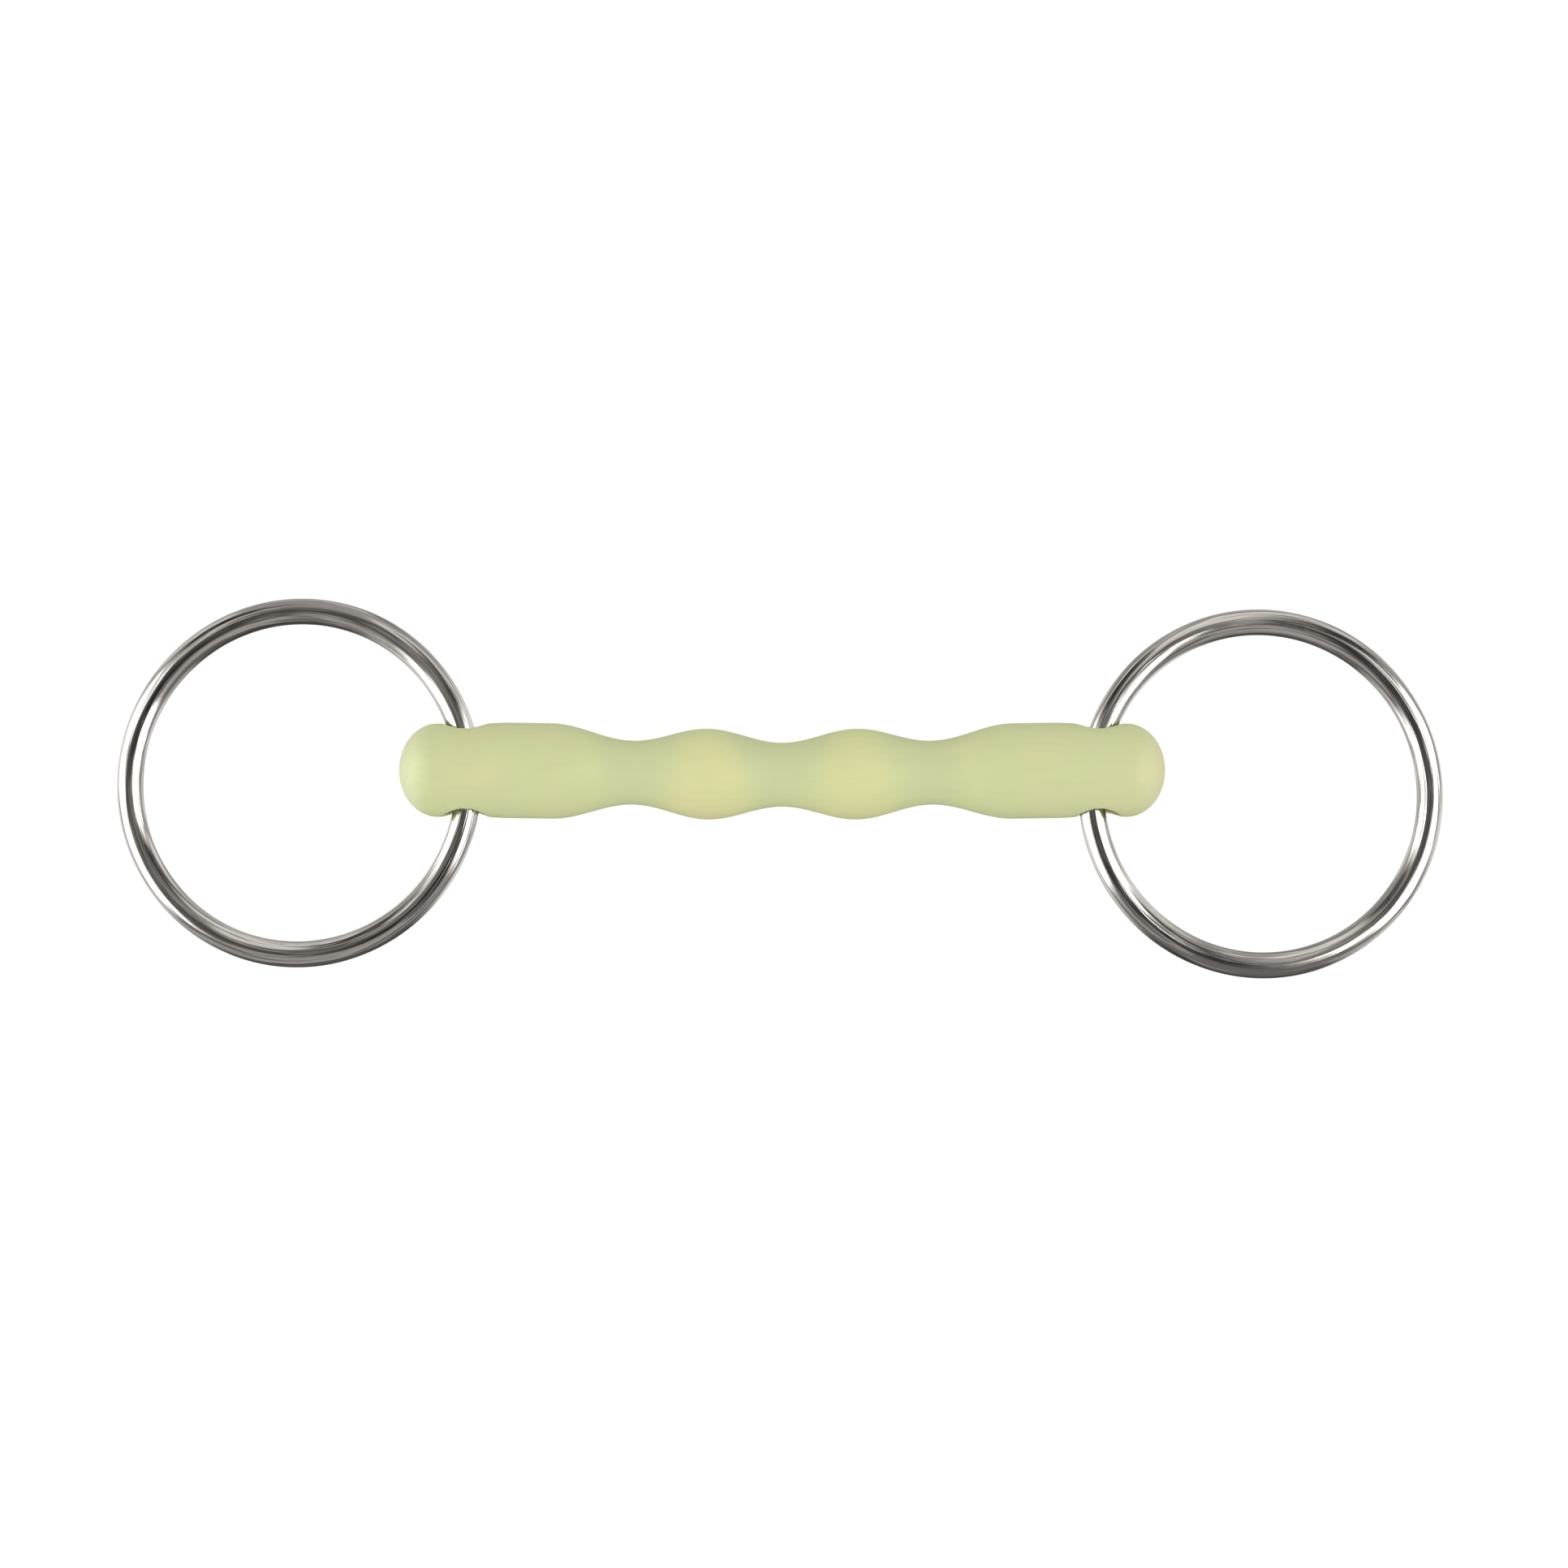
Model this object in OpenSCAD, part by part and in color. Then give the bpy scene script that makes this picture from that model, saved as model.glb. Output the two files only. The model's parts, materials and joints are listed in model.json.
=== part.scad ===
// Loose ring snaffle bit with a flexible, rippled one-piece mouthpiece, lying on a table.
// X runs along the mouthpiece, Y along the two ring holes and Z up. The origin is on the
// table, under the middle of the mouthpiece. The rings droop until their far edges touch.

/* [Mouthpiece] */
// Distance between the axes of the two ring holes
hole_span = 132.6; // [124:0.2:150]
// Length of the rounded end outside each hole axis
end_length = 13.9; // [12.5:0.1:20]
// Diameter of the two thick barrels
barrel_d = 20; // [19:0.5:24]
// Diameter at the ring holes
neck_d = 19.2; // [18.6:0.2:19]
// Diameter of the rounded ends beside the ring holes
bulb_d = 19.6; // [19:0.2:22]
// Diameter of the two middle ripples
lobe_d = 19; // [16:0.5:20]
// Diameter of the three waists between the ripples
waist_d = 13.4; // [12:0.2:16]
// Distance along the bar from a waist to the next ripple
ripple_pitch = 15.6; // [13:0.1:16]

/* [Ring holes] */
// Diameter of the ring hole at its throat
throat_d = 8.5; // [8:0.1:8.7]
// Diameter that the ring hole flares to at the surface
flare_d = 9.4; // [9:0.1:10.4]
// Outer diameter of the steel bush in the hole
bush_d = 10.4; // [10.2:0.1:11]
// Length of the steel bush
bush_length = 13; // [11:0.5:14]

/* [Rings] */
// Inside diameter of a ring
ring_inner_d = 66.8; // [60:0.2:80]
// Diameter of the round wire
wire_d = 5.5; // [5:0.1:6]
// How far the left ring's wire is pushed inwards from the axis of its hole
left_ring_push = 0.65; // [0:0.05:1.55]
// How far the left ring's centre lies along its hole, from the middle of the hole
left_ring_along = -2.3; // [-5:0.1:5]
// How far the right ring's wire is pushed inwards from the axis of its hole
right_ring_push = 1.55; // [0:0.05:1.55]
// How far the right ring's centre lies along its hole, from the middle of the hole
right_ring_along = -4.6; // [-5:0.1:5]

/* [Cable] */
// Diameter of one wire of the seven-wire cable
strand_d = 0.78; // [0.6:0.02:0.78]
// Length in which an outer wire makes one turn about the core
lay_length = 20; // [15:1:30]
// Length of the crimped ferrule that closes each loop
ferrule_length = 10; // [8:0.5:12]

/* [Hidden] */
$fn = 96;

urethane = [0.83, 0.85, 0.64];
steel = [0.72, 0.72, 0.70];
cable_steel = [0.60, 0.61, 0.62];

// Gaps between pieces: fit is a running or moulded fit, slack keeps the cable off the bush
fit = 0.05;
slack = 0.34;
// How far neighbouring pockets run into each other, and cutters past what they cut
overlap = 0.5;

mouth_z = barrel_d / 2;
hole_x = hole_span / 2;
ring_r = (ring_inner_d + wire_d) / 2;

// The cable: six wires round a core, looped round each bush and closed by a ferrule
strand_gap = 0.04;
wire_spacing = strand_d + strand_gap;
cable_r = wire_spacing + strand_d / 2;
groove_depth = 0.25;
groove_margin = 0.6;
groove_r = bush_d / 2 - groove_depth;
groove_half_width = cable_r + groove_margin;
loop_r = groove_r + slack + cable_r;
channel_r = loop_r - bush_d / 2 + fit;
pair_z = cable_r + 2 * fit;
ferrule_wall = 1.1;
ferrule_to_hole = 11;
ferrule_end_x = hole_x - ferrule_to_hole;
// Bend radii of the cable before the ferrule and beyond it
sway_r = 12;
fork_r = 4;
sway_angle = acos(1 - pair_z / (2 * sway_r));
sway_start = ferrule_end_x - ferrule_length - 2 * sway_r * sin(sway_angle);
fork_gap = norm([ferrule_to_hole, pair_z + fork_r]);
fork_angle = asin((fork_r + loop_r) / fork_gap) - atan((pair_z + fork_r) / ferrule_to_hole);
fork_line = sqrt(pow(fork_gap, 2) - pow(fork_r + loop_r, 2));

function arc_length(r, angle) = r * angle * PI / 180;

// The cable's centreline from the middle of the bar to its right tail, as [length, turn]:
// straight, up to the ferrule's upper lane, through it, round the bush and back into it
route = [
    [sway_start, 0],
    [arc_length(sway_r, sway_angle), sway_angle],
    [arc_length(sway_r, sway_angle), -sway_angle],
    [ferrule_length, 0],
    [arc_length(fork_r, fork_angle), fork_angle],
    [fork_line, 0],
    [arc_length(loop_r, 180 + 2 * fork_angle), -180 - 2 * fork_angle],
    [fork_line, 0],
    [arc_length(fork_r, fork_angle), fork_angle],
    [ferrule_length, 0]
];

// Heading and place where each stretch of the route begins, and the way covered in it
function heading(i) = i == 0 ? 0 : heading(i - 1) + route[i - 1][1];
function begin(i) = i == 0 ? [0, 0] : begin(i - 1) + travel(heading(i - 1), route[i - 1], 1);
function bend_r(stretch) = stretch[0] / (stretch[1] * PI / 180);
function travel(h, stretch, t) =
    stretch[1] == 0
    ? t * stretch[0] * [cos(h), sin(h)]
    : bend_r(stretch) * [
        sin(h + t * stretch[1]) - sin(h),
        cos(h) - cos(h + t * stretch[1])
    ];
function route_length(i = 0) = i == len(route) ? 0 : route[i][0] + route_length(i + 1);

starts = [for (i = [0:len(route) - 1]) [begin(i), heading(i)]];
half_cable = route_length();

// Place [x, z] and heading of the cable at a distance s from the middle of the bar,
// negative to the left, where the route is the mirror image of the right half's
function stretch_at(s, i = 0) =
    i == len(route) - 1 || s <= route[i][0]
    ? [i, s / route[i][0]]
    : stretch_at(s - route[i][0], i + 1);
function place(s) =
    let (
        found = stretch_at(abs(s)),
        i = found[0],
        side = s < 0 ? -1 : 1,
        p = starts[i][0] + travel(starts[i][1], route[i], found[1])
    )
    [side * p[0], p[1], side * (starts[i][1] + found[1] * route[i][1])];

// The bar's outline from its middle to its right end, as [x, radius]: crests and waists
// joined by half waves of a cosine, then a blunt dome
barrel_start = 3.1 * ripple_pitch;
barrel_to_hole = 10;
hole_to_bulb = 5.5;
dome_start = hole_x + hole_to_bulb;
dome_length = end_length - hole_to_bulb;
dome_bluntness = 2.1;
stations = [
    [0, waist_d / 2],
    [ripple_pitch, lobe_d / 2],
    [2 * ripple_pitch, waist_d / 2],
    [barrel_start, barrel_d / 2],
    [hole_x - barrel_to_hole, barrel_d / 2],
    [hole_x, neck_d / 2],
    [dome_start, bulb_d / 2]
];
steps = 6;
dome_steps = 10;

function ease(a, b, t) = a + (b - a) * (1 - cos(180 * t)) / 2;
function dome(t) = sqrt(1 - pow(t, dome_bluntness));
half_outline = [
    for (i = [0:len(stations) - 2]) for (k = [0:steps - 1])
        let (a = stations[i], b = stations[i + 1], t = k / steps)
        [a[0] + (b[0] - a[0]) * t, ease(a[1], b[1], t)],
    for (k = [0:dome_steps - 1])
        let (t = sin(90 * k / dome_steps))
        [dome_start + dome_length * t, bulb_d / 2 * dome(t)]
];
last = len(half_outline) - 1;
bar_outline = [
    [0, -hole_x - end_length],
    for (i = [last:-1:1]) [half_outline[i][1], -half_outline[i][0]],
    for (i = [0:last]) [half_outline[i][1], half_outline[i][0]],
    [0, hole_x + end_length]
];

// Radius of the ring hole at a distance y from its throat
flare_reach = 10;
function hole_r(y) = throat_d / 2 + (flare_d - throat_d) / 2 * pow(y / flare_reach, 2);

module at_hole() {
    translate([hole_x, 0, mouth_z]) rotate([-90, 0, 0]) children();
}

module both_sides() {
    children();
    mirror([1, 0, 0]) children();
}

// The hourglass passage that the ring's wire runs through, over a half length
module passage(half_length) {
    rings = [for (k = [-6:6]) half_length * k / 6];
    rotate_extrude()
    polygon([[0, -half_length], for (y = rings) [hole_r(y), y], [0, half_length]]);
}

// The ferrule's outline, two lanes side by side, at a radius about each lane
module two_lanes(r) {
    square([2 * pair_z, 2 * r], center = true);
    for (side = [-1, 1]) translate([side * pair_z, 0]) circle(r = r, $fn = 48);
}

module ferrule_solid(gap) {
    translate([ferrule_end_x - ferrule_length - gap, 0, mouth_z])
    rotate([0, 90, 0])
    linear_extrude(ferrule_length + 2 * gap) two_lanes(cable_r + ferrule_wall + gap);
}

// The room that the moulding leaves for the cable: a straight run along the bar, then on
// each side the two lanes, the ferrule, the fork beyond it and the loop round the bush
module lanes_pocket() {
    translate([sway_start, 0, mouth_z])
    rotate([0, 90, 0])
    linear_extrude(ferrule_end_x - sway_start + overlap) two_lanes(channel_r);
}

module loop_pocket() {
    pocket_r = loop_r + channel_r;
    tangent = [hole_x - pocket_r * sin(fork_angle), pocket_r * cos(fork_angle)];
    mouth = [ferrule_end_x, pair_z + channel_r];
    translate([0, channel_r, mouth_z])
    rotate([90, 0, 0])
    linear_extrude(2 * channel_r) {
        polygon([mouth, tangent, [tangent[0], -tangent[1]], [mouth[0], -mouth[1]]]);
        translate([hole_x, 0]) circle(r = pocket_r);
    }
}

module straight_run() {
    translate([-sway_start - overlap, 0, mouth_z])
    rotate([0, 90, 0])
    cylinder(r = channel_r, h = 2 * (sway_start + overlap));
}

module mouthpiece() {
    color(urethane)
    difference() {
        translate([0, 0, mouth_z]) rotate([0, 90, 0]) rotate_extrude() polygon(bar_outline);
        both_sides() {
            at_hole() passage(barrel_d / 2 + overlap);
            at_hole() cylinder(d = bush_d + 2 * fit, h = bush_length + 2 * fit, center = true);
            ferrule_solid(fit);
            lanes_pocket();
            loop_pocket();
        }
        straight_run();
    }
}

// One wire: a six-sided tube along the route, straight for the core and otherwise
// swept along the helix that it makes about the core, at a distance spacing from it
wire_sides = 6;
wire_rings = 100;
module wire(spacing, number) {
    tube = [
        for (i = [0:wire_rings])
            let (
                s = half_cable * (2 * i / wire_rings - 1),
                p = place(s),
                lay = 360 * s / lay_length + 60 * number,
                across = spacing * cos(lay),
                aside = spacing * sin(lay)
            )
            for (k = [0:wire_sides - 1])
                let (
                    a = 360 * k / wire_sides,
                    n = across + strand_d / 2 * cos(a),
                    b = aside + strand_d / 2 * sin(a)
                )
                [p[0] - n * sin(p[2]), b, mouth_z + p[1] + n * cos(p[2])]
    ];
    function at(i, k) = i * wire_sides + k % wire_sides;
    sides = [
        for (i = [0:wire_rings - 1]) for (k = [0:wire_sides - 1])
            for (half = [0, 1])
                half == 0
                ? [at(i, k), at(i + 1, k), at(i + 1, k + 1)]
                : [at(i, k), at(i + 1, k + 1), at(i, k + 1)]
    ];
    left_end = [for (k = [0:wire_sides - 1]) at(0, k)];
    right_end = [for (k = [wire_sides - 1:-1:0]) at(wire_rings, k)];
    color(cable_steel) polyhedron(tube, concat(sides, [left_end, right_end]));
}

module ferrule() {
    color(steel)
    difference() {
        ferrule_solid(0);
        translate([ferrule_end_x - ferrule_length - overlap, 0, mouth_z])
        rotate([0, 90, 0])
        linear_extrude(ferrule_length + 2 * overlap) two_lanes(cable_r + fit);
    }
}

// A grooved eyelet: the passage through it flares, and the cable's loop lies round its groove
module bush() {
    half = bush_length / 2;
    bore = [for (k = [-5:5]) half * k / 5];
    wall = [
        [bush_d / 2, half],
        [bush_d / 2, groove_half_width],
        [groove_r, groove_half_width - groove_depth],
        [groove_r, groove_depth - groove_half_width],
        [bush_d / 2, -groove_half_width],
        [bush_d / 2, -half]
    ];
    color(steel) at_hole() rotate_extrude() polygon([for (y = bore) [hole_r(y), y], each wall]);
}

// A ring hangs in its hole and droops until its far edge meets the table
module ring(push, along) {
    out = ring_r - push;
    droop = asin((mouth_z - wire_d / 2) / (out + ring_r));
    color(steel)
    translate([hole_x, 0, mouth_z])
    rotate([0, droop, 0])
    translate([out, along, 0])
    rotate_extrude() translate([ring_r, 0]) circle(d = wire_d);
}

module cable_core() { wire(0, 0); }
module cable_wire(number) { wire(wire_spacing, number); }
module left_ferrule() { mirror([1, 0, 0]) ferrule(); }
module right_ferrule() { ferrule(); }
module left_bush() { mirror([1, 0, 0]) bush(); }
module right_bush() { bush(); }
module left_ring() { mirror([1, 0, 0]) ring(left_ring_push, left_ring_along); }
module right_ring() { ring(right_ring_push, right_ring_along); }

mouthpiece();
cable_core();
cable_wire(1);  // cable_wire_1
cable_wire(2);  // cable_wire_2
cable_wire(3);  // cable_wire_3
cable_wire(4);  // cable_wire_4
cable_wire(5);  // cable_wire_5
cable_wire(6);  // cable_wire_6
left_ferrule();
right_ferrule();
left_bush();
right_bush();
left_ring();
right_ring();
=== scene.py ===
import json
import math

import bpy
import numpy as np
from mathutils import Matrix, Vector

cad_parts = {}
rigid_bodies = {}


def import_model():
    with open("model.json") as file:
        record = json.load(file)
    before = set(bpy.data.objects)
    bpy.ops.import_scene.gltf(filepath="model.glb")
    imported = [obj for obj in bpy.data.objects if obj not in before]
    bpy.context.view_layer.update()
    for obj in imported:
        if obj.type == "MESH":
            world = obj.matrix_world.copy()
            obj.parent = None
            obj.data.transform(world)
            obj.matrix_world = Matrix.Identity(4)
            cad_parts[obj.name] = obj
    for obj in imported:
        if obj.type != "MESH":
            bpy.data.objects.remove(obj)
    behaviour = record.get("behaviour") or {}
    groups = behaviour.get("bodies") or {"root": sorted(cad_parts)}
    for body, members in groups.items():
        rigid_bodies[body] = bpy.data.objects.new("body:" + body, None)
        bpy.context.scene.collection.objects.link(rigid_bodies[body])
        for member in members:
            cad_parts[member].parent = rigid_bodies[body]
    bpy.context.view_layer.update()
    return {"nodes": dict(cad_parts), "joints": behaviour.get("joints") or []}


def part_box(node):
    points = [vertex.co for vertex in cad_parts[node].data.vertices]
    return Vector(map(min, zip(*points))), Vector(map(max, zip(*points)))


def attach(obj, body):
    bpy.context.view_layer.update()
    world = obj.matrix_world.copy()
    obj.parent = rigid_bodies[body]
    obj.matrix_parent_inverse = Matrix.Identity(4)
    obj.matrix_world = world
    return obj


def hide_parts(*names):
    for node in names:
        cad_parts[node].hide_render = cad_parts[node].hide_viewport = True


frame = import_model()

# ---------------------------------------------------------------- sizes, in metres
MM = 0.001
joints = {joint["name"]: joint for joint in frame["joints"]}
bar_low, bar_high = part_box("mouthpiece")
HOLE_X = joints["right_ring_swing"]["pos_m"][0]
MOUTH_Z = joints["right_ring_swing"]["pos_m"][2]
BAR_END = bar_high.x
BARREL_R = (bar_high.z - bar_low.z) / 2

# The bar's outline: distance from its middle and radius at each crest and waist
WAIST_R, LOBE_R, NECK_R, BULB_R = 6.7 * MM, 9.5 * MM, 9.7 * MM, 9.8 * MM
RIPPLE = 15.6 * MM
BARREL_START, BARREL_STOP = 3.1 * RIPPLE, HOLE_X - 10 * MM
DOME_START = HOLE_X + 5.5 * MM
DOME_BLUNTNESS = 2.1
STATIONS = np.array([
    (0, WAIST_R),
    (RIPPLE, LOBE_R),
    (2 * RIPPLE, WAIST_R),
    (BARREL_START, BARREL_R),
    (BARREL_STOP, BARREL_R),
    (HOLE_X, NECK_R),
    (DOME_START, BULB_R),
])

# The ring holes: throat and flare of the passage, and the bush's seat inside it
THROAT_R, FLARE_R, FLARE_REACH = 4.25 * MM, 4.35 * MM, 10 * MM
SEAT_R, SEAT_HALF = 5.32 * MM, 6.56 * MM
RIM_FILLET = 0.3 * MM
# The relaxed bar bends this far towards -Y at its middle
BOW = 0.95 * MM
# Grid of the bar's mesh, and how near to a surface its points are pulled onto it
VOXEL, NEAR = 0.4 * MM, 0.25 * MM
# How far the rings' polish is worn at most and how far it waves, as shares of the wire's radius
WEAR, WAVINESS = 0.0035, 0.0017
# The floor lies below the reach of a ring that swings right under the mouthpiece
FLOOR_DEPTH, FLOOR_SIZE = 90 * MM, 3.0


# ---------------------------------------------------------------- mesh helpers
def mesh_from(name, points, faces):
    """A smooth-shaded mesh object from numpy points and a list or array of faces."""
    mesh = bpy.data.meshes.new(name)
    mesh.from_pydata([tuple(p) for p in points], [], [tuple(f) for f in faces])
    mesh.polygons.foreach_set("use_smooth", [True] * len(mesh.polygons))
    mesh.update()
    made = bpy.data.objects.new(name, mesh)
    bpy.context.scene.collection.objects.link(made)
    return made


def points_of(obj):
    found = np.zeros(len(obj.data.vertices) * 3, np.float32)
    obj.data.vertices.foreach_get("co", found)
    return found.reshape(-1, 3).astype(float)


def set_points(obj, points):
    obj.data.vertices.foreach_set("co", points.astype(np.float32).ravel())
    obj.data.update()


def turned(name, profile, sides, axis="X"):
    """A closed solid of revolution, flat at both ends. profile holds (distance along axis, radius)."""
    along, radius = np.array(profile).T
    angle = np.linspace(0, 2 * math.pi, sides, endpoint=False)
    a, c = np.meshgrid(along, np.cos(angle), indexing="ij")
    r, s = np.meshgrid(radius, np.sin(angle), indexing="ij")
    columns = (a, r * c, r * s) if axis == "X" else (r * s, a, r * c)
    points = np.stack(columns, axis=-1).reshape(-1, 3)
    rows = len(along)
    faces = [
        (i * sides + j, i * sides + (j + 1) % sides, (i + 1) * sides + (j + 1) % sides, (i + 1) * sides + j)
        for i in range(rows - 1)
        for j in range(sides)
    ]
    faces.append(tuple(range(sides))[::-1])
    faces.append(tuple((rows - 1) * sides + j for j in range(sides)))
    return mesh_from(name, points, faces)


def apply_modifiers(obj):
    """Replaces obj's mesh with what its modifiers make of it."""
    evaluated = obj.evaluated_get(bpy.context.evaluated_depsgraph_get())
    made = bpy.data.meshes.new_from_object(evaluated)
    obj.modifiers.clear()
    obj.data = made


# ---------------------------------------------------------------- the moulded mouthpiece
def bar_radius(x):
    """The bar's radius at a distance x from its middle, in metres."""
    x = np.abs(x)
    at, radii = STATIONS.T
    i = np.clip(np.searchsorted(at, x, side="right") - 1, 0, len(at) - 2)
    t = np.clip((x - at[i]) / (at[i + 1] - at[i]), 0, 1)
    rippled = radii[i] + (radii[i + 1] - radii[i]) * (1 - np.cos(math.pi * t)) / 2
    t = np.clip((x - DOME_START) / (BAR_END - DOME_START), 0, 1)
    dome = BULB_R * np.sqrt(1 - t**DOME_BLUNTNESS)
    return np.where(x > DOME_START, dome, rippled)


def hole_radius(y):
    """The radius of the passage for the ring at a distance y from its throat."""
    return THROAT_R + (FLARE_R - THROAT_R) * (y / FLARE_REACH) ** 2


def outer_depth(p):
    """How deep each point lies under the bar's plain outer surface, and that surface's normal."""
    step = 0.01 * MM
    radius = bar_radius(p[:, 0])
    slope = (bar_radius(p[:, 0] + step) - bar_radius(p[:, 0] - step)) / (2 * step)
    slope = np.clip(slope, -20, 20)
    rho = np.maximum(np.hypot(p[:, 1], p[:, 2]), 1e-9)
    normal = np.stack([-slope, p[:, 1] / rho, p[:, 2] / rho], axis=1)
    length = np.sqrt(1 + slope**2)
    return (radius - rho) / length, normal / length[:, None]


def hole_depth(p):
    """How far each point lies outside the nearer ring hole's wall, and the direction away from its axis."""
    across = p[:, 0] - np.sign(p[:, 0]) * HOLE_X
    reach = np.maximum(np.hypot(across, p[:, 2]), 1e-9)
    away = np.stack([across / reach, np.zeros(len(p)), p[:, 2] / reach], axis=1)
    return reach - hole_radius(p[:, 1]), away


def shift_depths(p, outer, normal, hole, away, outer_goal, hole_goal):
    """Moves points so that both depths reach their goals, in the plane of the two directions."""
    cross = np.sum(normal * away, axis=1)
    inward, outward = outer_goal - outer, hole_goal - hole
    beta = (outward + cross * inward) / (1 - cross**2)
    alpha = -inward - beta * cross
    return p + alpha[:, None] * normal + beta[:, None] * away


def refine_bar(p):
    """Puts remeshed points exactly on the bar's surface and rounds the rims of the ring holes."""
    for _ in range(3):
        outer, normal = outer_depth(p)
        hole, away = hole_depth(p)
        skin = (np.abs(outer) < NEAR) & (hole > NEAR)
        p = p + np.where(skin, outer, 0)[:, None] * normal
        mouth = (np.abs(hole) < NEAR) & (outer > NEAR) & (np.abs(p[:, 1]) > SEAT_HALF + NEAR)
        p = p - np.where(mouth, hole, 0)[:, None] * away
    outer, normal = outer_depth(p)
    hole, away = hole_depth(p)
    rim = (outer < RIM_FILLET) & (hole < RIM_FILLET) & (np.abs(p[:, 1]) > SEAT_HALF + NEAR)
    from_centre = np.stack([outer - RIM_FILLET, hole - RIM_FILLET], axis=1)
    reach = np.maximum(np.linalg.norm(from_centre, axis=1), 1e-9)
    goal = RIM_FILLET + from_centre * (RIM_FILLET / reach)[:, None]
    rounded = shift_depths(p, outer, normal, hole, away, goal[:, 0], goal[:, 1])
    return np.where(rim[:, None], rounded, p)


def soften_rims(obj, p):
    """Evens out the points round the rims of the ring holes, most of all at the rims themselves."""
    edges = np.zeros(len(obj.data.edges) * 2, np.int32)
    obj.data.edges.foreach_get("vertices", edges)
    one, other = edges.reshape(-1, 2).T
    count = np.bincount(edges, minlength=len(p))[:, None]
    for _ in range(8):
        outer, hole = outer_depth(p)[0], hole_depth(p)[0]
        from_rim = np.maximum(np.abs(outer), np.abs(hole))
        weight = np.clip(2 - from_rim / (3 * VOXEL), 0, 1) * (np.abs(p[:, 1]) > SEAT_HALF + VOXEL)
        total = np.zeros_like(p)
        np.add.at(total, one, p[other])
        np.add.at(total, other, p[one])
        p = p + 0.5 * weight[:, None] * (total / count - p)
    return p


def bent(p):
    """The bar's points, bowed towards -Y between the ring holes."""
    t = np.clip(np.abs(p[:, 0]) / HOLE_X, 0, 1)
    moved = p.copy()
    moved[:, 1] -= BOW * (1 + np.cos(math.pi * t)) / 2
    return moved


def make_mouthpiece():
    body = np.linspace(-DOME_START, DOME_START, 240)
    bulge = np.sin(np.linspace(0, 1, 26)[1:-1] * math.pi / 2) * (BAR_END - DOME_START) + DOME_START
    along = np.concatenate([-bulge[::-1], body, bulge])
    # The remesh works in millimetres, where its voxels are of a size that it handles well
    solid = turned("mouthpiece_moulding", np.stack([along, bar_radius(along)], axis=1) / MM, 128)
    past_bar = BARREL_R + 2 * MM
    lips = np.linspace(SEAT_HALF, past_bar, 14)
    half = [(y, hole_radius(y)) for y in lips]
    profile = [(-y, r) for y, r in half[::-1]] + [(-SEAT_HALF, SEAT_R), (SEAT_HALF, SEAT_R)] + half
    for side in (-1, 1):
        cutter = turned("ring_hole_cutter", np.array(profile) / MM, 96, axis="Y")
        cutter.location.x = side * HOLE_X / MM
        cut = solid.modifiers.new("ring hole", "BOOLEAN")
        cut.operation, cut.solver, cut.object = "DIFFERENCE", "EXACT", cutter
    remesh = solid.modifiers.new("even mesh", "REMESH")
    remesh.mode, remesh.voxel_size = "VOXEL", VOXEL / MM
    bpy.context.view_layer.update()
    apply_modifiers(solid)
    for cutter in [o for o in bpy.data.objects if o.name.startswith("ring_hole_cutter")]:
        bpy.data.objects.remove(cutter)
    set_points(solid, bent(soften_rims(solid, refine_bar(points_of(solid) * MM))))
    solid.data.polygons.foreach_set("use_smooth", [True] * len(solid.data.polygons))
    solid.location = (0, 0, MOUTH_Z)
    return solid


# ---------------------------------------------------------------- the rings
def make_ring(side):
    """A round wire ring in its own frame, with Z along its axis, then put where its joint is."""
    joint = joints[side + "_ring_spin"]
    centre, axis = Vector(joint["pos_m"]), Vector(joint["axis"]).normalized()
    cad = points_of(frame["nodes"][side + "_ring"]) - np.array(centre)
    height = cad @ np.array(axis)
    wire_r = np.abs(height).max()
    ring_r = np.linalg.norm(cad - height[:, None] * np.array(axis), axis=1).max() - wire_r
    around, over = 640, 56
    u = np.linspace(0, 2 * math.pi, around, endpoint=False)[:, None]
    v = np.linspace(0, 2 * math.pi, over, endpoint=False)[None, :]
    # Hand polishing leaves a faint waviness along the wire
    phase = 1.3 if side == "left" else 4.1
    wave = np.sin(7 * u + phase + 1.2 * np.sin(v)) + 0.7 * np.sin(17 * u - phase + 2 * v)
    wave = wave + 0.35 * np.sin(41 * u + 2 * phase - 3 * v) * np.sin(5 * u + phase)
    r = wire_r * (1 - WEAR + WAVINESS * wave)
    reach = ring_r + r * np.cos(v)
    points = np.stack([reach * np.cos(u), reach * np.sin(u), r * np.sin(v)], axis=-1).reshape(-1, 3)
    i, j = np.meshgrid(np.arange(around), np.arange(over), indexing="ij")
    i2, j2 = (i + 1) % around, (j + 1) % over
    quads = np.stack([i * over + j, i2 * over + j, i2 * over + j2, i * over + j2], axis=-1)
    made = mesh_from(side + "_ring_wire", points, quads.reshape(-1, 4).tolist())
    made.matrix_world = Matrix.Translation(centre) @ axis.to_track_quat("Z", "Y").to_matrix().to_4x4()
    return made, ring_r


# ---------------------------------------------------------------- node helpers
def add(tree, kind, inputs=None, **settings):
    """A node with its settings and its inputs, each a value or another node's output."""
    made = tree.nodes.new(kind)
    for name, value in settings.items():
        setattr(made, name, value)
    for socket, value in (inputs or {}).items():
        if isinstance(value, bpy.types.NodeSocket):
            tree.links.new(value, made.inputs[socket])
        else:
            made.inputs[socket].default_value = value
    return made


def calc(tree, operation, *values):
    return add(tree, "ShaderNodeMath", dict(enumerate(values)), operation=operation).outputs[0]


def times(tree, a, b):
    return calc(tree, "MULTIPLY", a, b)


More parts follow.
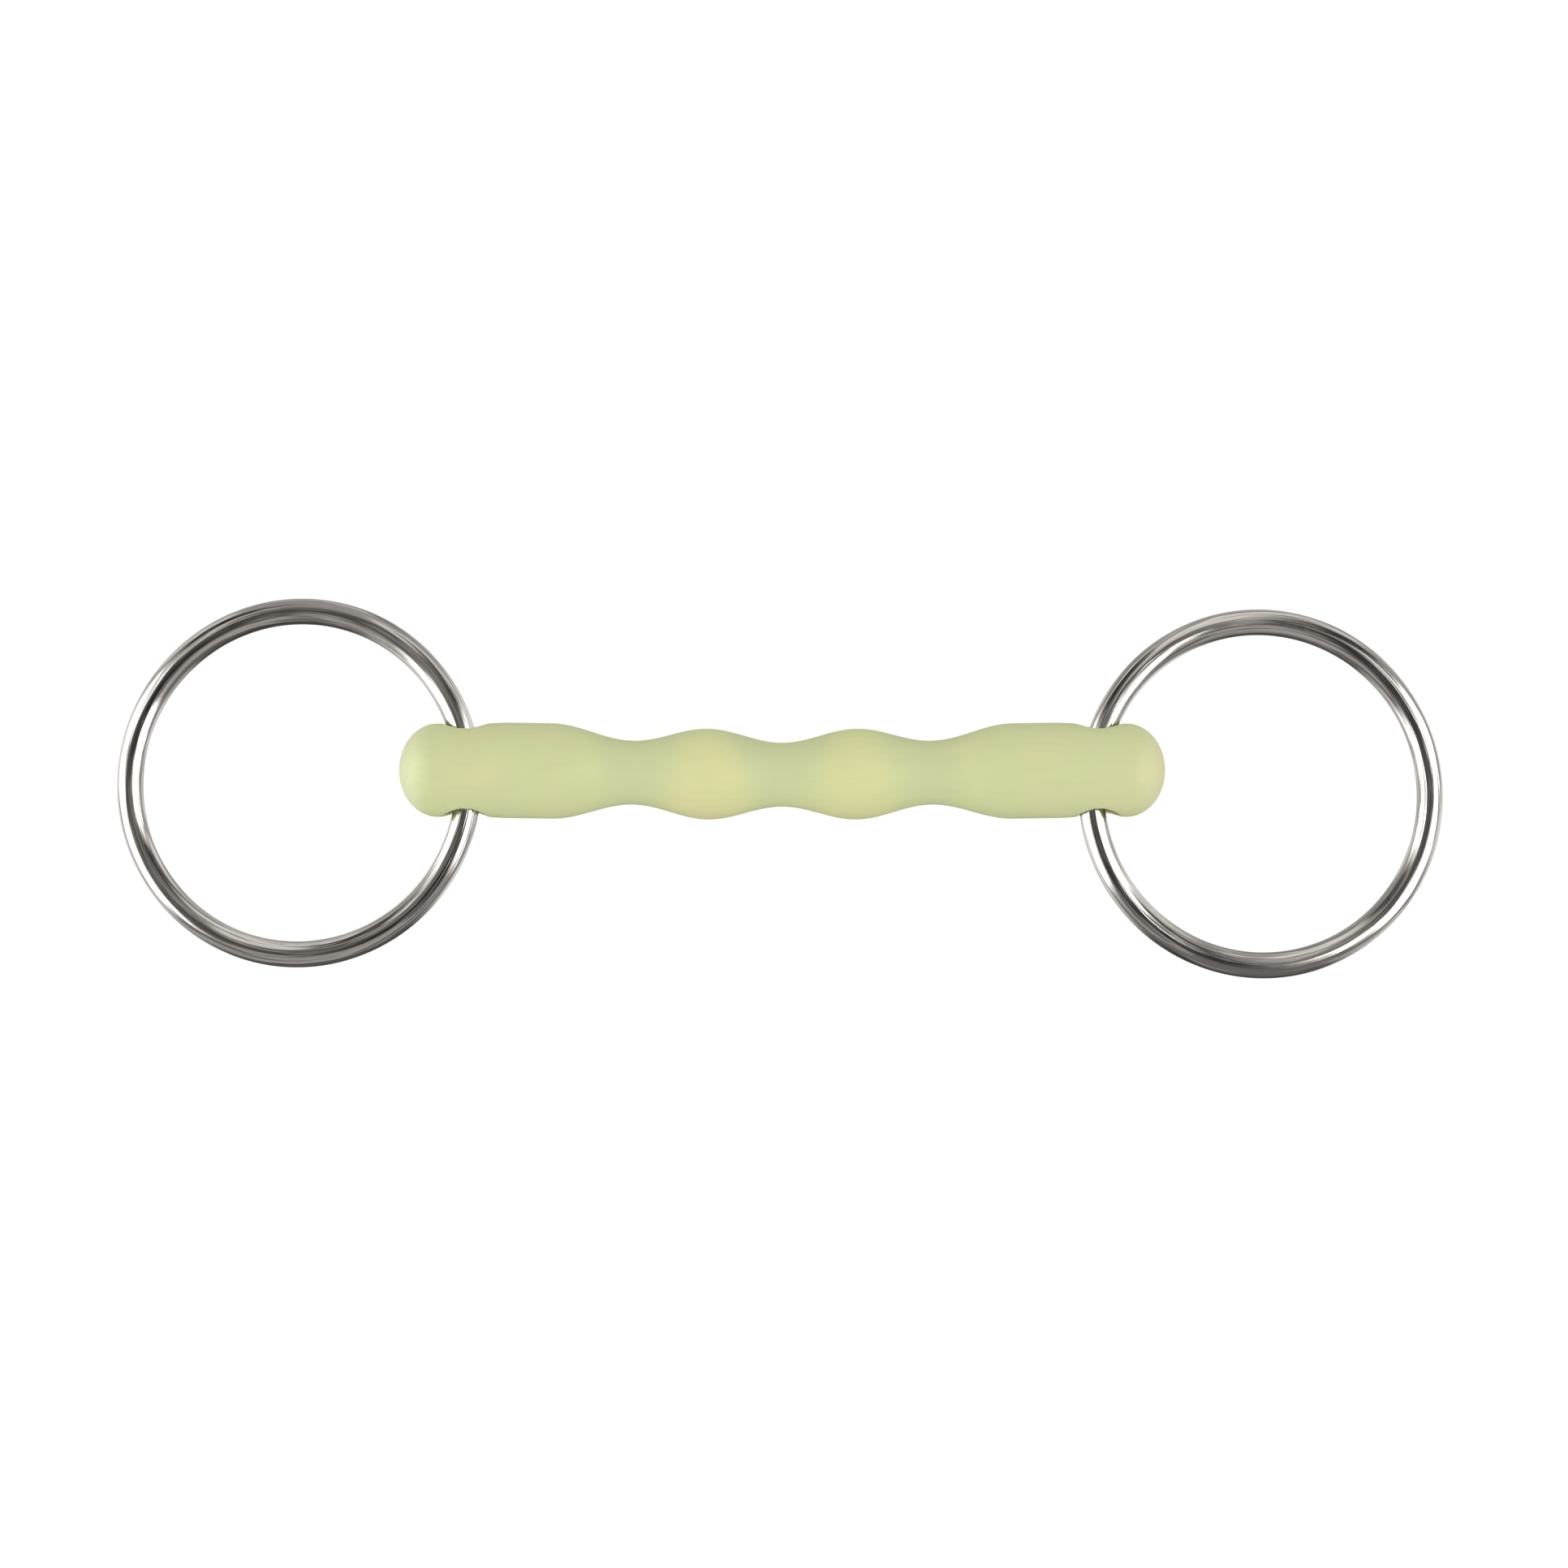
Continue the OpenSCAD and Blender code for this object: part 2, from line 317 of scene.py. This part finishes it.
def length_of(tree, a, b):
    """The length of the vector (a, b)."""
    return calc(tree, "SQRT", calc(tree, "ADD", calc(tree, "POWER", a, 2.0), calc(tree, "POWER", b, 2.0)))


def ramp(tree, value, low, high, to_low=0.0, to_high=1.0):
    """value mapped smoothly from low..high to to_low..to_high."""
    inputs = {"Value": value, "From Min": low, "From Max": high, "To Min": to_low, "To Max": to_high}
    return add(tree, "ShaderNodeMapRange", inputs, interpolation_type="SMOOTHSTEP").outputs[0]


def mix(tree, factor, a, b):
    """Colour a where factor is 0 and b where it is 1."""
    inputs = {0: factor, 6: a, 7: b}
    return add(tree, "ShaderNodeMix", inputs, data_type="RGBA").outputs[2]


def tint(tree, where, strength, a, b):
    """Colour a, mixed with up to the given strength of b as where goes from 0 to 1."""
    return mix(tree, times(tree, where, strength), a, b)


def noise(tree, vector, scale, detail=3.0, roughness=0.5):
    inputs = {"Vector": vector, "Scale": scale, "Detail": detail, "Roughness": roughness}
    return add(tree, "ShaderNodeTexNoise", inputs).outputs[0]


def stretched(tree, vector, scale):
    inputs = {"Vector": vector, "Scale": scale}
    return add(tree, "ShaderNodeMapping", inputs, vector_type="POINT").outputs[0]


def bump(tree, height, strength, distance, below=None):
    inputs = {"Height": height, "Strength": strength, "Distance": distance}
    if below is not None:
        inputs["Normal"] = below
    return add(tree, "ShaderNodeBump", inputs).outputs[0]


def new_material(name):
    """A material with an empty Principled shader. Gives the material, its tree and that shader."""
    material = bpy.data.materials.new(name)
    material.use_nodes = True
    tree = material.node_tree
    tree.nodes.clear()
    shader = add(tree, "ShaderNodeBsdfPrincipled")
    add(tree, "ShaderNodeOutputMaterial", {"Surface": shader.outputs[0]})
    return material, tree, shader


def wire_up(tree, shader, **links):
    """Links sockets of shader, named with _ for a space, to outputs."""
    for socket, output in links.items():
        tree.links.new(output, shader.inputs[socket.replace("_", " ")])


def set_values(shader, values):
    for socket, value in values.items():
        shader.inputs[socket].default_value = value


# ---------------------------------------------------------------- materials
def urethane_material():
    """Pale yellow-green polyurethane: yellower on the crests, greener at the waists, lengthwise streaks,
    and ends painted lighter as painted light.
    """
    material, tree, shader = new_material("moulded_polyurethane")
    place = add(tree, "ShaderNodeTexCoord").outputs["Object"]
    x, y, z = add(tree, "ShaderNodeSeparateXYZ", {0: place}).outputs
    out = calc(tree, "ABSOLUTE", x)
    waist_green, crest_yellow = (0.585, 0.625, 0.345, 1), (0.680, 0.680, 0.340, 1)
    barrel_green = (0.625, 0.645, 0.345, 1)
    patch_green, blush_tan = (0.60, 0.66, 0.32, 1), (0.72, 0.67, 0.36, 1)
    left_end_painted_light, right_end_painted_light = (0.79, 0.82, 0.50, 1), (0.70, 0.69, 0.40, 1)
    streak_olive, mark_grey = (0.50, 0.52, 0.27, 1), (0.36, 0.36, 0.22, 1)
    crest = ramp(tree, length_of(tree, y, z), WAIST_R + 0.3 * MM, LOBE_R)
    colour = mix(tree, crest, waist_green, crest_yellow)
    colour = mix(tree, ramp(tree, out, 2.2 * RIPPLE, 2.8 * RIPPLE), colour, barrel_green)
    # Painted light: both domed ends are painted lighter than the body, the left end most
    painted_lit_end = mix(tree, ramp(tree, x, -0.01, 0.01), left_end_painted_light, right_end_painted_light)
    colour = mix(tree, ramp(tree, out, BAR_END - 8 * MM, BAR_END - 1 * MM), colour, painted_lit_end)
    patches = ramp(tree, noise(tree, place, 70, 3), 0.35, 0.65)
    colour = tint(tree, patches, 0.25, colour, patch_green)
    blush = ramp(tree, noise(tree, stretched(tree, place, (90, 160, 160)), 1, 2), 0.55, 0.75)
    colour = tint(tree, blush, 0.3, colour, blush_tan)
    streaks = noise(tree, stretched(tree, place, (50, 950, 950)), 1, 4, 0.6)
    colour = tint(tree, ramp(tree, streaks, 0.4, 0.75), 0.13, colour, streak_olive)
    # Rub marks from the ring, round the mouths of the holes
    from_axis = length_of(tree, calc(tree, "SUBTRACT", out, HOLE_X), z)
    near_hole = ramp(tree, from_axis, 8.5 * MM, 5.2 * MM)
    specks = ramp(tree, noise(tree, place, 1300, 3, 0.6), 0.52, 0.66)
    colour = tint(tree, times(tree, near_hole, specks), 0.2, colour, mark_grey)
    grain = noise(tree, place, 2600, 2)
    normal = bump(tree, grain, 0.25, 0.02 * MM)
    normal = bump(tree, streaks, 0.35, 0.03 * MM, normal)
    # The mould's parting line, a fine ridge along both sides and round the ends
    ridge = ramp(tree, calc(tree, "ABSOLUTE", z), 0.16 * MM, 0.05 * MM)
    normal = bump(tree, ridge, 0.6, 0.05 * MM, normal)
    gloss = ramp(tree, noise(tree, place, 240, 4, 0.6), 0.3, 0.7, 0.46, 0.60)
    wire_up(tree, shader, Base_Color=colour, Roughness=gloss, Normal=normal)
    set_values(shader, {
        "IOR": 1.5,
        "Specular IOR Level": 0.35,
        "Subsurface Weight": 0.35,
        "Subsurface Radius": (1.0, 0.95, 0.45),
        "Subsurface Scale": 2.0 * MM,
    })
    return material


def ring_material(ring_r):
    """Polished stainless wire, with fine lines that run along the wire, a few cross scratches, and dark
    streaks along it that are partly painted reflection.
    """
    material, tree, shader = new_material("polished_stainless_wire")
    place = add(tree, "ShaderNodeTexCoord").outputs["Object"]
    x, y, z = add(tree, "ShaderNodeSeparateXYZ", {0: place}).outputs
    # Four coordinates that follow the wire: across it, and on a circle for the way along it
    reach = length_of(tree, x, y)
    across_scale, along_scale = 2600, 2.5
    section = add(tree, "ShaderNodeCombineXYZ", {
        0: times(tree, calc(tree, "SUBTRACT", reach, ring_r), across_scale),
        1: times(tree, z, across_scale),
        2: times(tree, calc(tree, "DIVIDE", x, reach), along_scale),
    }).outputs[0]
    turn = times(tree, calc(tree, "DIVIDE", y, reach), along_scale)

    def along_wire(scale, detail, roughness):
        inputs = {"Vector": section, "W": turn, "Scale": scale, "Detail": detail, "Roughness": roughness}
        return add(tree, "ShaderNodeTexNoise", inputs, noise_dimensions="4D").outputs[0]

    # Fine polishing lines, and broader streaks left by drawing the wire, also painted dark as painted
    # reflection lines
    lines = along_wire(1.0, 4.0, 0.55)
    streaks = along_wire(0.6, 2.0, 0.5)
    bright, dull, streak_grey_and_painted_reflection = (0.82, 0.80, 0.77, 1), (0.64, 0.625, 0.60, 1), (0.17, 0.165, 0.16, 1)
    smudge = noise(tree, place, 130, 3)
    gloss = ramp(tree, smudge, 0.35, 0.7, 0.10, 0.19)
    gloss = calc(tree, "ADD", gloss, ramp(tree, lines, 0.45, 0.8, 0.0, 0.07))
    colour = mix(tree, ramp(tree, lines, 0.35, 0.7), bright, dull)
    # Painted reflection: the streaks darken the steel almost to black, partly drawing marks and partly
    # painted dark reflection lines
    colour = tint(tree, ramp(tree, streaks, 0.46, 0.56), 0.72, colour, streak_grey_and_painted_reflection)
    cells = {"Vector": place, "Scale": 420.0}
    scratches = add(tree, "ShaderNodeTexVoronoi", cells, feature="DISTANCE_TO_EDGE")
    nicks = ramp(tree, scratches.outputs[0], 0.02, 0.0)
    normal = bump(tree, streaks, 0.5, 0.3 * MM)
    normal = bump(tree, lines, 0.22, 0.02 * MM, normal)
    normal = bump(tree, nicks, 0.04, 0.02 * MM, normal)
    wire_up(tree, shader, Base_Color=colour, Roughness=gloss, Normal=normal)
    set_values(shader, {"Metallic": 1.0})
    return material


def turned_steel_material(name, colour, along):
    """Machined or drawn steel whose marks run along the axes with a small scale in along."""
    material, tree, shader = new_material(name)
    place = add(tree, "ShaderNodeTexCoord").outputs["Object"]
    marks = noise(tree, stretched(tree, place, along), 1, 4, 0.6)
    shade = mix(tree, marks, tuple(0.82 * c for c in colour) + (1,), colour + (1,))
    gloss = ramp(tree, marks, 0.3, 0.7, 0.24, 0.40)
    normal = bump(tree, marks, 0.4, 0.03 * MM)
    wire_up(tree, shader, Base_Color=shade, Roughness=gloss, Normal=normal)
    set_values(shader, {"Metallic": 1.0})
    return material


# ---------------------------------------------------------------- putting the pieces on the bodies
mouthpiece = make_mouthpiece()
mouthpiece.data.materials.append(urethane_material())
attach(mouthpiece, "mouthpiece")
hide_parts("mouthpiece")

steel = None
for side in ("left", "right"):
    ring, ring_radius = make_ring(side)
    steel = steel or ring_material(ring_radius)
    ring.data.materials.append(steel)
    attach(ring, side + "_ring")
    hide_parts(side + "_ring")

bush_steel = turned_steel_material("turned_stainless_bush", (0.60, 0.59, 0.57), (250, 5200, 250))
ferrule_steel = turned_steel_material("pressed_stainless_ferrule", (0.62, 0.61, 0.59), (500, 2200, 2200))
cable_steel = turned_steel_material("drawn_cable_wire", (0.52, 0.52, 0.51), (300, 5200, 5200))
for name, node in frame["nodes"].items():
    finish = {"bush": bush_steel, "ferrule": ferrule_steel, "cable": cable_steel}
    for word, material in finish.items():
        if word in name:
            node.data.materials.clear()
            node.data.materials.append(material)


# ---------------------------------------------------------------- floor, light and camera
def make_floor():
    """A plain pale floor. The camera sees it faintly, and reflections show the studio in its place."""
    ways = ((-1, -1), (1, -1), (1, 1), (-1, 1))
    corners = [(x * FLOOR_SIZE, y * FLOOR_SIZE, -FLOOR_DEPTH) for x, y in ways]
    floor = mesh_from("floor", np.array(corners), [(0, 1, 2, 3)])
    material, tree, shader = new_material("pale_floor")
    ray = add(tree, "ShaderNodeLightPath").outputs
    camera_ray = ray["Is Camera Ray"]
    set_values(shader, {"Roughness": 0.9, "Specular IOR Level": 0.0, "Emission Color": (1, 1, 1, 1)})
    colour = mix(tree, ray["Is Diffuse Ray"], (0.75, 0.745, 0.73, 1), (0.42, 0.42, 0.40, 1))
    see_through = calc(tree, "ADD", times(tree, camera_ray, 0.7), ray["Is Glossy Ray"])
    glow = times(tree, camera_ray, 0.35)
    wire_up(tree, shader, Base_Color=colour, Emission_Strength=glow)
    clear = add(tree, "ShaderNodeBsdfTransparent")
    seen = add(tree, "ShaderNodeMixShader", {0: see_through, 1: shader.outputs[0], 2: clear.outputs[0]})
    tree.links.new(seen.outputs[0], tree.nodes["Material Output"].inputs["Surface"])
    floor.data.materials.append(material)


def make_world():
    """White to the camera. Lights the bit evenly, and shows it a studio with a softbox at each end."""
    world = bpy.data.worlds.new("studio")
    bpy.context.scene.world = world
    world.use_nodes = True
    tree = world.node_tree
    tree.nodes.clear()
    towards = add(tree, "ShaderNodeTexCoord").outputs["Generated"]
    x, y, z = add(tree, "ShaderNodeSeparateXYZ", {0: towards}).outputs
    off_side = calc(tree, "ABSOLUTE", calc(tree, "ADD", y, 0.02))
    aside = calc(tree, "DIVIDE", off_side, calc(tree, "ABSOLUTE", x))
    # The room: grey behind, darker in front and darkest near the camera
    room_behind, room_in_front = (0.82, 0.79, 0.755, 1), (0.38, 0.365, 0.35, 1)
    room_above, dark_spot = (0.20, 0.19, 0.175, 1), (0.045, 0.042, 0.04, 1)
    room = mix(tree, ramp(tree, y, 0.25, -0.35), room_behind, room_in_front)
    room = mix(tree, ramp(tree, z, 0.72, 0.93), room, room_above)
    # Dark spots as (direction, cosine at the edge): about the camera and in the two far corners
    spots = (((0.0, -0.25, 0.97), 0.91), ((0.62, 0.52, 0.58), 0.86), ((-0.55, 0.70, 0.45), 0.93))
    for spot, edge in spots:
        close = add(tree, "ShaderNodeVectorMath", {0: towards, 1: spot}, operation="DOT_PRODUCT")
        room = mix(tree, ramp(tree, close.outputs["Value"], edge, 0.99), room, dark_spot)
    # The floor as the steel reflects it: pale under either end, grey behind and dark in front
    floor_behind, floor_in_front = (0.50, 0.49, 0.47, 1), (0.11, 0.105, 0.10, 1)
    floor_ends = (0.85, 0.84, 0.82, 1)
    below = mix(tree, ramp(tree, y, 0.05, -0.25), floor_behind, floor_in_front)
    below = mix(tree, ramp(tree, aside, 1.6, 0.6), below, floor_ends)
    room = mix(tree, ramp(tree, z, -0.05, -0.4), room, below)
    # The softboxes, upright strips of light to either side
    strip = ramp(tree, aside, 0.75, 0.40)
    right = times(tree, ramp(tree, z, 0.95, 0.86), ramp(tree, z, 0.12, 0.30))
    left = times(tree, ramp(tree, z, 0.80, 0.68), ramp(tree, z, -0.30, -0.10))
    which = calc(tree, "GREATER_THAN", x, 0.0)
    tall = add(tree, "ShaderNodeMix", {0: which, 2: left, 3: right}).outputs[0]
    softbox = (4.0, 4.0, 3.95, 1)
    room = mix(tree, times(tree, strip, tall), room, softbox)
    # The even light, stronger from the front and strongest from the ends
    even_front, even_back, even_ends = (1.08, 1.08, 1.08, 1), (0.86, 0.86, 0.86, 1), (1.30, 1.30, 1.30, 1)
    even = mix(tree, ramp(tree, y, -0.9, 0.9), even_front, even_back)
    even = mix(tree, times(tree, x, x), even, even_ends)
    ray = add(tree, "ShaderNodeLightPath").outputs
    seen = mix(tree, ray["Is Glossy Ray"], even, room)
    seen = mix(tree, ray["Is Camera Ray"], seen, (1, 1, 1, 1))
    shader = add(tree, "ShaderNodeBackground", {"Color": seen, "Strength": 1.0})
    add(tree, "ShaderNodeOutputWorld", {"Surface": shader.outputs[0]})


def make_camera():
    """Almost straight above the bit, leaning a little towards -Y, with +Y up in the picture."""
    elevation, picture_width, lens, sensor = math.radians(85.5), 328.4 * MM, 100.0, 36.0
    aim = Vector((0.4 * MM, -2.9 * MM, MOUTH_Z))
    data = bpy.data.cameras.new("camera")
    data.lens, data.sensor_width, data.sensor_height = lens, sensor, sensor
    data.clip_start, data.clip_end = 0.01, 20.0
    camera = bpy.data.objects.new("camera", data)
    back = Vector((0, -math.cos(elevation), math.sin(elevation)))
    camera.location = aim + back * (picture_width * lens / sensor)
    camera.rotation_euler = (math.pi / 2 - elevation, 0, 0)
    bpy.context.scene.collection.objects.link(camera)
    bpy.context.scene.camera = camera


make_floor()
make_world()
make_camera()
bpy.context.scene.view_settings.view_transform = "Standard"
